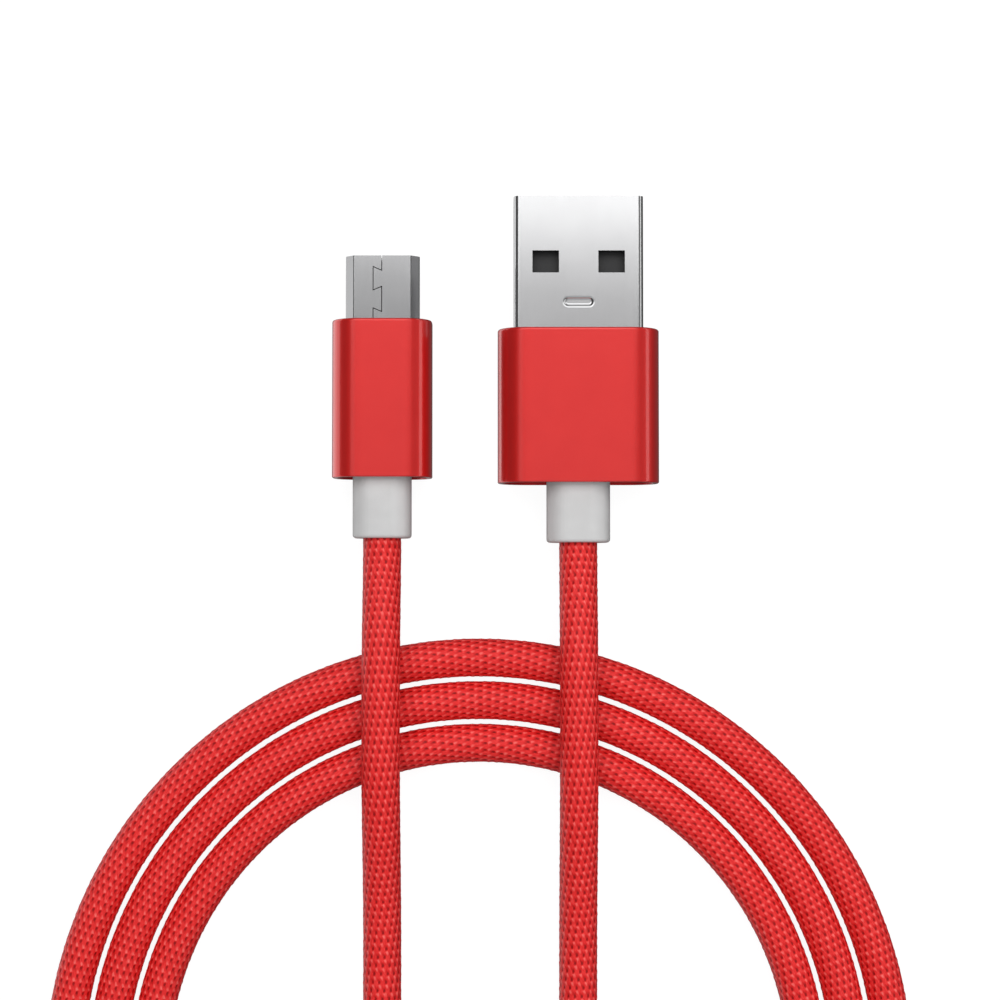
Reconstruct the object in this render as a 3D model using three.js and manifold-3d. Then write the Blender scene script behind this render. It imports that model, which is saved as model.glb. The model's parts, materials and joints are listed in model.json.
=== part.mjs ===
// Charging cable: a USB-A plug and a Micro-B plug on the two ends of one braided cord, lying flat.
//
// Millimetres. X runs right, Y towards the tips of the plugs and Z up from the surface that the
// cable lies on. The origin is on that surface, under the middle of the two plugs.
// A plug is drawn about its own axis, with its tip at y = 0 and all of it behind that, at y < 0.

import * as THREE from 'three';
import * as BufferGeometryUtils from 'three/addons/utils/BufferGeometryUtils.js';
import Module from 'manifold-3d';

const wasm = await Module();
wasm.setup();

// --- Driving dimensions ---------------------------------------------------------------------

const PLUG_SPACING = 18.25; // between the axes of the two plugs
const TIP_OFFSET = 5.35; // how far the USB-A tip is ahead of the Micro-B tip
const FIT_GAP = 0.05; // between pieces that are pressed or moulded together
const LOOSE_GAP = 0.15; // around a sheet metal shell that passes through a hole
const CUT_MARGIN = 1; // how far a cutting solid runs past the surface that it cuts
const CORNER_STEPS = 5; // flats on a rounded corner
const BROAD_CORNER_STEPS = 8; // flats on a housing's broader corners

const USB_A = {
  shell: { width: 12, height: 4.5, sheet: 0.3, corner: 0.6, length: 17.6 },
  window: { width: 2.45, length: 2.05, x: 3.05, y: -6.12 },
  stamp: { width: 2.85, height: 0.95, bevel: 0.22, endRadius: 0.245, depth: 0.02, y: -9.85 },
  seam: 0.1,
  tongue: { width: 10.8, top: 1.85, bottom: 0.1, front: -0.45, rear: -9.6 },
  block: { bottom: -1.85, rear: -17.4 },
  pocketDepth: 0.9,
  contact: { width: 1, bottom: 0.14, thickness: 0.2, rear: -19.4, grooveSide: 0.15, grooveTop: 0.45 },
  contacts: [
    { name: 'vbus', x: -3.5, front: -1.24 },
    { name: 'data_minus', x: -1, front: -2.24 },
    { name: 'data_plus', x: 1, front: -2.24 },
    { name: 'ground', x: 3.5, front: -1.24 },
  ],
  housing: { width: 15, height: 7, corner: 2.9, wall: 0.6, frontWall: 0.8, front: -12.3, rear: -26.6 },
  mouldRecess: 0.4,
  chamber: { width: 9.2, height: 3.2, front: -17.8 },
  relief: { width: 5.9, height: 4.9, corner: 1.9, front: -23.5, rear: -32.1 },
  flange: { width: 8, front: -24, rear: -25.4 },
  jacketFront: -22.9,
  wires: [
    { name: 'vbus', start: [-0.52, 0.52], end: [-3.5, -18.1, 0.82] },
    { name: 'data_minus', start: [-0.52, -0.52], end: [-1, -18.1, 0.82] },
    { name: 'data_plus', start: [0.52, -0.52], end: [1, -18.1, 0.82] },
    { name: 'ground', start: [0.52, 0.52], end: [3.5, -18.1, 0.82] },
  ],
  wireRadius: 0.42,
};

const WIRE = {
  straightStart: 0.7, // before a conductor fans out
  straightEnd: 1.5, // where it lies along its contact
  steps: 10,
  sides: 8,
};

const MICRO_B = {
  // The shell's outline is wide at the bottom and narrows above the chamfer.
  shell: { wide: 6.9, narrow: 5.3, height: 1.8, sheet: 0.25, corner: 0.25, sharpest: 0.03, length: 11 },
  seam: { width: 0.08, x: -0.45, swing: 0.4, first: 1.22, pitch: 3.86, tooth: 2.1, slant: 0.17, lean: 0.42 },
  plate: { width: 4.6, top: 0.6, bottom: 0.15, front: -0.6, rear: -6.5 },
  blockRear: -10.8,
  contact: { count: 5, pitch: 0.65, width: 0.4, bottom: 0.18, thickness: 0.15, front: -1, rear: -13 },
  groove: { width: 0.52, top: 0.42, bottom: 0.05 },
  latch: { x: 1.95, width: 0.7, thickness: 0.2, bottom: -0.6, root: -8.5, front: -1.6 },
  hook: { drop: 0.62, rear: -3, crestRear: -2.9, crestFront: -2.5, tipLift: 0.05 },
  latchSlot: { width: 1, front: -1.3, rear: -3.3, top: -0.45 },
  latchChannel: { width: 1, top: -0.1, rear: -8.9 },
  housing: { width: 9.3, height: 6.8, corner: 2.7, wall: 0.55, frontWall: 0.8, front: -6.1, rear: -20.75 },
  mouldRecess: 0.4,
  chamber: { width: 5.2, height: 3.2, front: -11.2 },
  relief: { width: 5.45, height: 4.7, corner: 1.85, front: -16.9, rear: -26.35 },
  flange: { width: 7, front: -17.4, rear: -18.6 },
  jacketFront: -16.3,
  wires: [
    { name: 'vbus', start: [-0.52, 0.52], end: [-1.55, -11.5, 0.8] },
    { name: 'data_minus', start: [-0.52, -0.52], end: [-0.6, -11.5, -0.3] },
    { name: 'data_plus', start: [0.52, -0.52], end: [0, -11.5, 0.8] },
    { name: 'ground', start: [0.52, 0.52], end: [1.55, -11.5, 0.8] },
  ],
  wireRadius: 0.4,
};

const CORD = {
  diameter: 3.5,
  sides: 8,
  usbALeadSteps: 36,
  microBLeadSteps: 42,
  socketDepth: 2.4, // how far the cord goes into a strain relief
  socketRadius: 1.87,
  jacketRadius: 1.45, // of the bare jacket, where the braid has been cut back
  boreRadius: 1.55,
};

// The coil is a ring of turns side by side: half a circle at each end, joined by straight sides.
const RING = {
  middleRadius: 34.6,
  straight: 30,
  pitch: 3.98,
  pointsPerArc: 24,
  edgeBevel: 1.1,
};

// The leads, in the coil's frame: x, y from the middle of the ring's far arc and z from the surface.
// The first goes from inside the USB-A strain relief, over the far side of the ring and round its
// inside, to the left side of the inner turn.
const USB_A_LEAD = [
  [9.25, 51.4, 3.5],
  [9.25, 49.3, 3.5],
  [9.25, 45.4, 3.95],
  [9.25, 41.2, 5.0],
  [9.25, 37.0, 5.6],
  [9.25, 32.5, 5.65],
  [9.25, 28.0, 5.5],
  [9.25, 23.0, 4.6],
  [9.25, 17.5, 3.0],
  [9.25, 12.0, 1.95],
  [9.25, 6.0, 1.75],
  [9.25, -0.5, 1.75],
  [9.25, -7.0, 1.75],
  [9.25, -12.0, 1.75],
  [7.8, -19.7, 1.75],
  [3.5, -26.1, 1.75],
  [-3.0, -30.5, 1.75],
  [-10.65, -32.0, 1.75],
  [-18.3, -30.5, 1.75],
  [-24.8, -26.1, 1.75],
  [-29.1, -19.7, 1.75],
  [-30.62, -12.0, 1.75],
  [-30.62, -6.0, 1.75],
  [-30.62, -0.3, 1.75],
];

// The second leaves the right side of the outer turn, climbs over the ring and over the first lead,
// and comes back over the far side of the ring to the Micro-B strain relief.
const MICRO_B_LEAD = [
  [38.58, -0.3, 1.75],
  [38.58, -4.5, 2.0],
  [38.2, -10.0, 3.3],
  [36.8, -16.0, 5.0],
  [33.6, -22.3, 5.8],
  [28.6, -27.9, 5.8],
  [21.9, -32.0, 5.6],
  [14.2, -33.8, 5.4],
  [6.8, -32.9, 5.7],
  [0.2, -29.4, 5.8],
  [-4.9, -23.9, 5.1],
  [-8.0, -17.2, 3.3],
  [-9.0, -10.2, 2.0],
  [-9.0, -3.0, 1.75],
  [-9.0, 4.0, 1.75],
  [-9.0, 10.0, 1.8],
  [-9.0, 15.0, 2.2],
  [-9.0, 19.6, 3.3],
  [-9.0, 24.0, 4.6],
  [-9.0, 28.5, 5.5],
  [-9.0, 33.0, 5.65],
  [-9.0, 37.5, 5.6],
  [-9.0, 41.8, 4.9],
  [-9.0, 46.0, 3.8],
  [-9.0, 49.8, 3.4],
  [-9.0, 51.9, 3.4],
];

// --- Places that follow from them -----------------------------------------------------------

const housingShift = (USB_A.housing.width - MICRO_B.housing.width) / 4;
const USB_A_X = PLUG_SPACING / 2 - housingShift;
const MICRO_B_X = USB_A_X - PLUG_SPACING;
const USB_A_TIP_Y = -USB_A.relief.rear / 2;
const MICRO_B_TIP_Y = USB_A_TIP_Y - TIP_OFFSET;
const RING_X = USB_A_X - USB_A_LEAD[0][0];
const RING_Y = USB_A_TIP_Y + USB_A.relief.rear - USB_A_LEAD[1][1];

// --- Materials ------------------------------------------------------------------------------

const paint = (color, roughness, metalness) =>
  new THREE.MeshStandardMaterial({ color, roughness, metalness });

const MATERIALS = {
  nickel: paint(0xc4c4c6, 0.28, 1),
  redAluminium: paint(0xc81e22, 0.38, 0.75),
  greyPlastic: paint(0xd2d2d2, 0.5, 0),
  blackPlastic: paint(0x17171a, 0.55, 0),
  gold: paint(0xd9a840, 0.25, 1),
  spring: paint(0xb9bbbe, 0.3, 1),
  braid: paint(0xd8222a, 0.8, 0),
  jacket: paint(0x8a8c90, 0.6, 0),
  wires: {
    vbus: paint(0xc02a24, 0.5, 0),
    data_minus: paint(0xe8e6e0, 0.5, 0),
    data_plus: paint(0x2c8a46, 0.5, 0),
    ground: paint(0x202022, 0.5, 0),
  },
};

// --- Solids: booleans -----------------------------------------------------------------------

function toSolid(geometry) {
  const bare = geometry.clone();
  bare.deleteAttribute('normal');
  bare.deleteAttribute('uv');
  const merged = BufferGeometryUtils.mergeVertices(bare, 1e-5);
  const mesh = new wasm.Mesh({
    numProp: 3,
    vertProperties: new Float32Array(merged.attributes.position.array),
    triVerts: new Uint32Array(merged.index.array),
  });
  return new wasm.Manifold(mesh);
}

function toGeometry(solid) {
  const mesh = solid.getMesh();
  const geometry = new THREE.BufferGeometry();
  geometry.setAttribute('position', new THREE.BufferAttribute(mesh.vertProperties, 3));
  geometry.setIndex(new THREE.BufferAttribute(mesh.triVerts, 1));
  return geometry;
}

function cut(body, tools) {
  const cutBody = tools.reduce((solid, tool) => solid.subtract(toSolid(tool)), toSolid(body));
  return toGeometry(cutBody);
}

function join(pieces) {
  return toGeometry(pieces.map(toSolid).reduce((solid, piece) => solid.add(piece)));
}

// --- Solids: shapes -------------------------------------------------------------------------

// An outline through the corners, taken anticlockwise, each rounded to the given radius.
function roundedPolygon(corners, radius, steps = CORNER_STEPS) {
  const points = [];
  corners.forEach((corner, i) => {
    const before = corners[(i + corners.length - 1) % corners.length];
    const after = corners[(i + 1) % corners.length];
    const toBefore = before.clone().sub(corner).normalize();
    const toAfter = after.clone().sub(corner).normalize();
    const halfAngle = Math.acos(toBefore.dot(toAfter)) / 2;
    const bisector = toBefore.clone().add(toAfter).normalize();
    const centre = corner.clone().addScaledVector(bisector, radius / Math.sin(halfAngle));
    const sweep = Math.PI - 2 * halfAngle;
    const firstAngle = Math.atan2(-bisector.y, -bisector.x) - sweep / 2;
    for (let step = 0; step <= steps; step += 1) {
      const angle = firstAngle + (sweep * step) / steps;
      const rim = new THREE.Vector2(Math.cos(angle), Math.sin(angle));
      points.push(centre.clone().addScaledVector(rim, radius));
    }
  });
  return new THREE.Shape(points);
}

function roundedRectangle(width, height, radius, steps) {
  const x = width / 2;
  const z = height / 2;
  const corners = [
    new THREE.Vector2(-x, -z),
    new THREE.Vector2(x, -z),
    new THREE.Vector2(x, z),
    new THREE.Vector2(-x, z),
  ];
  return roundedPolygon(corners, radius, steps);
}

// The XZ outline runs along Y, from rear to front.
function prism(outline, rear, front) {
  const geometry = new THREE.ExtrudeGeometry(outline, { depth: front - rear, bevelEnabled: false });
  geometry.rotateX(Math.PI / 2);
  geometry.translate(0, front, 0);
  return geometry;
}

function block([x0, x1], [y0, y1], [z0, z1]) {
  const geometry = new THREE.BoxGeometry(x1 - x0, y1 - y0, z1 - z0);
  geometry.translate((x0 + x1) / 2, (y0 + y1) / 2, (z0 + z1) / 2);
  return geometry;
}

// A round bar along Y.
function rod(radius, rear, front, sides = 24) {
  const geometry = new THREE.CylinderGeometry(radius, radius, front - rear, sides);
  geometry.translate(0, (rear + front) / 2, 0);
  return geometry;
}

function tube(points, radius, steps, sides) {
  const curve = new THREE.CatmullRomCurve3(points.map((point) => new THREE.Vector3(...point)));
  const rim = [];
  for (let side = 0; side < sides; side += 1) {
    const angle = (2 * Math.PI * (side + 0.5)) / sides;
    rim.push(new THREE.Vector2(radius * Math.cos(angle), radius * Math.sin(angle)));
  }
  const section = new THREE.Shape(rim);
  return new THREE.ExtrudeGeometry(section, { steps, extrudePath: curve, bevelEnabled: false });
}

function named(name, geometry, material) {
  const mesh = new THREE.Mesh(geometry, material);
  mesh.name = name;
  return mesh;
}

// --- Pieces that both plugs have ------------------------------------------------------------

// An anodised sleeve, open at the rear, with a hole in its front wall for the shell.
function housing({ width, height, corner, wall, frontWall, front, rear }, shellOutline) {
  const sleeve = prism(roundedRectangle(width, height, corner, BROAD_CORNER_STEPS), rear, front);
  const inside = roundedRectangle(
    width - 2 * wall,
    height - 2 * wall,
    corner - wall,
    BROAD_CORNER_STEPS,
  );
  const cavity = prism(inside, rear - CUT_MARGIN, front - frontWall);
  const hole = prism(shellOutline, rear, front + CUT_MARGIN);
  return cut(sleeve, [cavity, hole]);
}

// The relief's outline, or the slightly larger one of the pocket that holds it.
function reliefSolids({ relief, flange }, gap, neckRear) {
  const neck = roundedRectangle(relief.width + 2 * gap, relief.height + 2 * gap, relief.corner + gap);
  const collar = roundedRectangle(flange.width + 2 * gap, relief.height + 2 * gap, relief.corner + gap);
  return [
    prism(neck, neckRear, relief.front + gap),
    prism(collar, flange.rear - gap, flange.front + gap),
  ];
}

function strainRelief(plug) {
  const { relief } = plug;
  const body = join(reliefSolids(plug, 0, relief.rear));
  const bore = rod(CORD.boreRadius, relief.rear, relief.front + CUT_MARGIN);
  const socket = rod(CORD.socketRadius, relief.rear - CUT_MARGIN, relief.rear + CORD.socketDepth);
  return cut(body, [bore, socket]);
}

// The moulding that fills the housing. It holds the rear of the shell and the front of the relief,
// and leaves a chamber for the solder joints between them.
function innerMould(plug, shellOutline) {
  const { housing: sleeve, chamber } = plug;
  const inset = 2 * (sleeve.wall + FIT_GAP);
  const outline = roundedRectangle(
    sleeve.width - inset,
    sleeve.height - inset,
    sleeve.corner - sleeve.wall - FIT_GAP,
    BROAD_CORNER_STEPS,
  );
  const front = sleeve.front - sleeve.frontWall - FIT_GAP;
  const rear = sleeve.rear + plug.mouldRecess;
  const shellPocket = prism(shellOutline, -plug.shell.length - FIT_GAP, front + CUT_MARGIN);
  const room = block(
    [-chamber.width / 2, chamber.width / 2],
    [plug.relief.front, chamber.front + CUT_MARGIN],
    [-chamber.height / 2, chamber.height / 2],
  );
  const reliefPocket = reliefSolids(plug, FIT_GAP, rear - CUT_MARGIN);
  return cut(prism(outline, rear, front), [shellPocket, room, ...reliefPocket]);
}

// The cord's bare jacket, from the floor of the socket to the solder chamber.
function jacketEnd({ relief, jacketFront }) {
  const rear = relief.rear + CORD.socketDepth + 2 * FIT_GAP;
  return rod(CORD.jacketRadius, rear, jacketFront);
}

// Four conductors fan out from the jacket to the tails of the contacts.
function wires(prefix, plug) {
  const behind = plug.jacketFront + 2 * FIT_GAP;
  return plug.wires.map(({ name, start, end }) => {
    const [endX, endY, endZ] = end;
    const route = [
      [start[0], behind, start[1]],
      [start[0], behind + WIRE.straightStart, start[1]],
      [endX, endY - WIRE.straightEnd, endZ],
      [endX, endY, endZ],
    ];
    const conductor = tube(route, plug.wireRadius, WIRE.steps, WIRE.sides);
    return named(`${prefix}_wire_${name}`, conductor, MATERIALS.wires[name]);
  });
}

function plugBody(prefix, plug, shellOutline) {
  return [
    named(`${prefix}_inner_mould`, innerMould(plug, shellOutline), MATERIALS.blackPlastic),
    named(`${prefix}_housing`, housing(plug.housing, shellOutline), MATERIALS.redAluminium),
    named(`${prefix}_strain_relief`, strainRelief(plug), MATERIALS.greyPlastic),
    named(`${prefix}_jacket_end`, jacketEnd(plug), MATERIALS.jacket),
    ...wires(prefix, plug),
  ];
}

// --- USB-A plug -----------------------------------------------------------------------------

// The mark pressed into the upper face: an oblong with sloping sides.
function usbAStampTool() {
  const { stamp, shell } = USB_A;
  const floorWidth = stamp.width - 2 * stamp.bevel;
  const floorHeight = stamp.height - 2 * stamp.bevel;
  const outline = roundedRectangle(floorWidth, floorHeight, stamp.endRadius);
  const tool = new THREE.ExtrudeGeometry(outline, {
    depth: stamp.depth,
    bevelThickness: stamp.bevel,
    bevelSize: stamp.bevel,
    bevelSegments: 1,
  });
  // The widest level of the tool lies level with the upper face.
  tool.translate(0, stamp.y, shell.height / 2);
  return tool;
}

function usbAShell() {
  const { shell, window: hole, seam } = USB_A;
  const outer = roundedRectangle(shell.width, shell.height, shell.corner);
  const inner = roundedRectangle(
    shell.width - 2 * shell.sheet,
    shell.height - 2 * shell.sheet,
    shell.corner - shell.sheet,
  );
  const tools = [prism(inner, -shell.length - CUT_MARGIN, CUT_MARGIN), usbAStampTool()];
  for (const side of [-1, 1]) {
    const x = side * hole.x;
    tools.push(
      block(
        [x - hole.width / 2, x + hole.width / 2],
        [hole.y - hole.length / 2, hole.y + hole.length / 2],
        [-shell.height, shell.height],
      ),
    );
  }
  tools.push(block([-seam / 2, seam / 2], [-shell.length - CUT_MARGIN, CUT_MARGIN], [-shell.height, 0]));
  return cut(prism(outer, -shell.length, 0), tools);
}

// The tongue lies under the upper face and the block behind it fills the shell. Contacts lie in
// grooves in the underside of the tongue, and the tongue is hollowed behind each window.
function usbAInsulator() {
  const { tongue, block: rearBlock, window: hole, pocketDepth, contact, contacts } = USB_A;
  const halfWidth = tongue.width / 2;
  const across = [-halfWidth, halfWidth];
  const body = join([
    block(across, [tongue.rear - CUT_MARGIN, tongue.front], [tongue.bottom, tongue.top]),
    block(across, [rearBlock.rear, tongue.rear], [rearBlock.bottom, tongue.top]),
  ]);
  const grooves = contacts.map(({ x, front }) => {
    const half = contact.width / 2 + contact.grooveSide;
    const along = [rearBlock.rear - CUT_MARGIN, front + contact.grooveSide];
    return block([x - half, x + half], along, [0, contact.grooveTop]);
  });
  const pockets = [-1, 1].map((side) => {
    const x = side * hole.x;
    return block(
      [x - hole.width / 2, x + hole.width / 2],
      [hole.y - hole.length / 2, hole.y + hole.length / 2],
      [tongue.top - pocketDepth, tongue.top + CUT_MARGIN],
    );
  });
  return cut(body, [...grooves, ...pockets]);
}

function usbAContacts() {
  const { contact, contacts } = USB_A;
  return contacts.map(({ name, x, front }) => {
    const across = [x - contact.width / 2, x + contact.width / 2];
    const depth = [contact.bottom, contact.bottom + contact.thickness];
    const strip = block(across, [contact.rear, front], depth);
    return named(`usb_a_contact_${name}`, strip, MATERIALS.gold);
  });
}

function usbAPlug() {
  const { shell } = USB_A;
  const plug = new THREE.Group();
  const hole = roundedRectangle(
    shell.width + 2 * LOOSE_GAP,
    shell.height + 2 * LOOSE_GAP,
    shell.corner + LOOSE_GAP,
  );
  plug.add(named('usb_a_shell', usbAShell(), MATERIALS.nickel));
  plug.add(named('usb_a_insulator', usbAInsulator(), MATERIALS.blackPlastic));
  plug.add(...usbAContacts());
  plug.add(...plugBody('usb_a', USB_A, hole));
  plug.position.set(USB_A_X, USB_A_TIP_Y, USB_A.housing.height / 2);
  return plug;
}

// --- Micro-B plug ---------------------------------------------------------------------------

// The shell's outline moved inwards by inset, or outwards where inset is negative.
function microOutline(inset) {
  const { wide, narrow, height, corner, sharpest } = MICRO_B.shell;
  const top = height / 2;
  const chamferX = (wide - narrow) / 2;
  const slope = Math.hypot(chamferX, top);
  // How much of the inset each end of the chamfer moves by, along its own side.
  const lowerShift = (slope - top) / chamferX;
  const upperShift = (slope - chamferX) / top;
  const x = wide / 2 - inset;
  const upperX = narrow / 2 - inset * upperShift;
  const corners = [
    new THREE.Vector2(-x, -top + inset),
    new THREE.Vector2(x, -top + inset),
    new THREE.Vector2(x, -inset * lowerShift),
    new THREE.Vector2(upperX, top - inset),
    new THREE.Vector2(-upperX, top - inset),
    new THREE.Vector2(-x, -inset * lowerShift),
  ];
  return roundedPolygon(corners, Math.max(corner - inset, sharpest));
}

// The seam where the rolled sheet meets: a dovetailed line along the narrow face.
function microSeamTools() {
  const { seam, shell } = MICRO_B;
  const left = seam.x - seam.swing;
  const right = seam.x + seam.swing;
  const line = [new THREE.Vector2(right, CUT_MARGIN)];
  for (let y = -seam.first; y - seam.pitch > -shell.length; y -= seam.pitch) {
    line.push(new THREE.Vector2(right, y - seam.slant));
    line.push(new THREE.Vector2(left, y + seam.slant));
    line.push(new THREE.Vector2(left, y - seam.tooth + seam.slant / 2));
    line.push(new THREE.Vector2(right, y - seam.tooth + seam.lean));
  }
  line.push(new THREE.Vector2(right, -shell.length - CUT_MARGIN));
  const tools = [];
  for (let i = 1; i < line.length; i += 1) {
    const run = line[i].clone().sub(line[i - 1]);
    const middle = line[i].clone().add(line[i - 1]).divideScalar(2);
    const slit = new THREE.BoxGeometry(run.length() + seam.width, seam.width, shell.height / 2);
    slit.rotateZ(run.angle());
    slit.translate(middle.x, middle.y, shell.height / 2);
    tools.push(slit);
  }
  return tools;
}

function microShell() {
  const { shell, latch, latchSlot } = MICRO_B;
  const slots = [-1, 1].map((side) => {
    const x = side * latch.x;
    return block(
      [x - latchSlot.width / 2, x + latchSlot.width / 2],
      [latchSlot.rear, latchSlot.front],
      [-shell.height, latchSlot.top],
    );
  });
  const inside = prism(microOutline(shell.sheet), -shell.length - CUT_MARGIN, CUT_MARGIN);
  return cut(prism(microOutline(0), -shell.length, 0), [inside, ...microSeamTools(), ...slots]);
}

const microContactX = (index) => (index - (MICRO_B.contact.count - 1) / 2) * MICRO_B.contact.pitch;

// A thin plate under the narrow face carries the contacts, and the block behind it fills the shell.
function microInsulator() {
  const { shell, plate, contact, groove, latch, latchChannel, blockRear } = MICRO_B;
  const across = [-plate.width / 2, plate.width / 2];
  const body = join([
    block(across, [plate.rear - CUT_MARGIN, plate.front], [plate.bottom, plate.top]),
    prism(microOutline(shell.sheet + FIT_GAP), blockRear, plate.rear),
  ]);
  const tools = [];
  for (let i = 0; i < contact.count; i += 1) {
    const x = microContactX(i);
    const along = [blockRear - CUT_MARGIN, contact.front + FIT_GAP];
    const across = [x - groove.width / 2, x + groove.width / 2];
    tools.push(block(across, along, [groove.bottom, groove.top]));
  }
  for (const side of [-1, 1]) {
    const x = side * latch.x;
    const half = latchChannel.width / 2;
    const along = [latchChannel.rear, plate.rear + CUT_MARGIN];
    tools.push(block([x - half, x + half], along, [-shell.height, latchChannel.top]));
  }
  return cut(body, tools);
}

function microContacts() {
  const { contact } = MICRO_B;
  const contacts = [];
  for (let i = 0; i < contact.count; i += 1) {
    const x = microContactX(i);
    const across = [x - contact.width / 2, x + contact.width / 2];
    const depth = [contact.bottom, contact.bottom + contact.thickness];
    const strip = block(across, [contact.rear, contact.front], depth);
    contacts.push(named(`micro_b_contact_${i + 1}`, strip, MATERIALS.gold));
  }
  return contacts;
}

// A flat spring arm, rooted at its rear, with a hook that stands out of the wide face.
function microLatch(side) {
  const { latch, hook } = MICRO_B;
  const top = latch.bottom + latch.thickness;
  const crest = latch.bottom - hook.drop;
  const profile = new THREE.Shape([
    new THREE.Vector2(latch.root, latch.bottom),
    new THREE.Vector2(hook.rear, latch.bottom),
    new THREE.Vector2(hook.crestRear, crest),
    new THREE.Vector2(hook.crestFront, crest),
    new THREE.Vector2(latch.front, latch.bottom + hook.tipLift),
    new THREE.Vector2(latch.front, top),
    new THREE.Vector2(latch.root, top),
  ]);
  const arm = new THREE.ExtrudeGeometry(profile, { depth: latch.width, bevelEnabled: false });
  // The profile's x runs along Y, its y up along Z and its depth across X.
  arm.rotateX(Math.PI / 2);
  arm.rotateZ(Math.PI / 2);
  arm.translate(side * latch.x - latch.width / 2, 0, 0);
  return arm;
}

function microPlug() {
  const plug = new THREE.Group();
  plug.add(named('micro_b_shell', microShell(), MATERIALS.nickel));
  plug.add(named('micro_b_insulator', microInsulator(), MATERIALS.blackPlastic));
  plug.add(...microContacts());
  plug.add(named('micro_b_latch_left', microLatch(-1), MATERIALS.spring));
  plug.add(named('micro_b_latch_right', microLatch(1), MATERIALS.spring));
  plug.add(...plugBody('micro_b', MICRO_B, microOutline(-LOOSE_GAP)));
  plug.position.set(MICRO_B_X, MICRO_B_TIP_Y, MICRO_B.housing.height / 2);
  return plug;
}

// --- Cord -----------------------------------------------------------------------------------

const ARC = Math.PI * RING.middleRadius;
const LAP = 2 * (ARC + RING.straight);

// The point on the ring at a distance clockwise from its left side, offset outwards from the
// middle turn.
function onRing(distance, offset) {
  const radius = RING.middleRadius + offset;
  let rest = distance % LAP;
  if (rest <= ARC) {
    const angle = Math.PI - rest / RING.middleRadius;
    return new THREE.Vector2(radius * Math.cos(angle), radius * Math.sin(angle));
  }
  rest -= ARC;
  if (rest <= RING.straight) {
    return new THREE.Vector2(radius, -rest);
  }
  rest -= RING.straight;
  if (rest <= ARC) {
    const angle = -rest / RING.middleRadius;
    return new THREE.Vector2(radius * Math.cos(angle), radius * Math.sin(angle) - RING.straight);
  }
  rest -= ARC;
  return new THREE.Vector2(-radius, rest - RING.straight);
}

// Going round the near part of the ring, each turn moves out by one pitch.
function turnOffset(distance) {
  const nearPart = LAP - ARC;
  const done = [0, 1].map((lap) => THREE.MathUtils.smoothstep(distance - lap * LAP - ARC, 0, nearPart));
  return RING.pitch * (done[0] + done[1] - 1);
}

// One edge of the coil, all the way round: side is 1 for the outer edge and -1 for the inner one.
function ringEdge(farLap, nearLap, side) {
  const reach = (side * CORD.diameter) / 2;
  const nearPart = LAP - ARC;
  const points = [];
  for (let i = 0; i <= RING.pointsPerArc; i += 1) {
    const distance = (ARC * i) / RING.pointsPerArc;
    points.push(onRing(distance, turnOffset(distance + farLap * LAP) + reach));
  }
  for (let i = 0; i <= 2 * RING.pointsPerArc; i += 1) {
    const distance = ARC + (nearPart * i) / (2 * RING.pointsPerArc);
    points.push(onRing(distance, turnOffset(distance + nearLap * LAP) + reach));
  }
  return points.filter((point, i) => point.distanceTo(points.at(i - 1)) > 0.001);
}

// Three turns lie side by side over the far arc, and two round the near part of the ring.
function coil() {
  const outline = new THREE.Shape(ringEdge(2, 1, 1));
  outline.holes.push(new THREE.Path(ringEdge(0, 0, -1).reverse()));
  const { edgeBevel } = RING;
  const geometry = new THREE.ExtrudeGeometry(outline, {
    depth: CORD.diameter - 2 * edgeBevel,
    bevelThickness: edgeBevel,
    bevelSize: edgeBevel,
    bevelOffset: -edgeBevel,
    bevelSegments: 1,
  });
  geometry.translate(0, 0, edgeBevel);
  return geometry;
}

function cord() {
  const cordGroup = new THREE.Group();
  const lead = (points, steps) => tube(points, CORD.diameter / 2, steps, CORD.sides);
  cordGroup.add(named('cord_lead_usb_a', lead(USB_A_LEAD, CORD.usbALeadSteps), MATERIALS.braid));
  cordGroup.add(named('cord_coil', coil(), MATERIALS.braid));
  cordGroup.add(named('cord_lead_micro_b', lead(MICRO_B_LEAD, CORD.microBLeadSteps), MATERIALS.braid));
  cordGroup.position.set(RING_X, RING_Y, 0);
  return cordGroup;
}

const cable = new THREE.Group();
cable.add(usbAPlug());
cable.add(microPlug());
cable.add(cord());

export default cable;
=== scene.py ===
"""The looks of a charging cable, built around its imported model.

Lengths are in millimetres until they become mesh points, which are in metres. X runs right, Y
towards the tips of the plugs and Z up from the floor. Each plug is drawn about its own axis, with its
tip at y = 0. Lights and camera are placed in metres.
"""

import json
import math

import bmesh
import bpy
import numpy as np
from mathutils import Matrix, Vector


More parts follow.
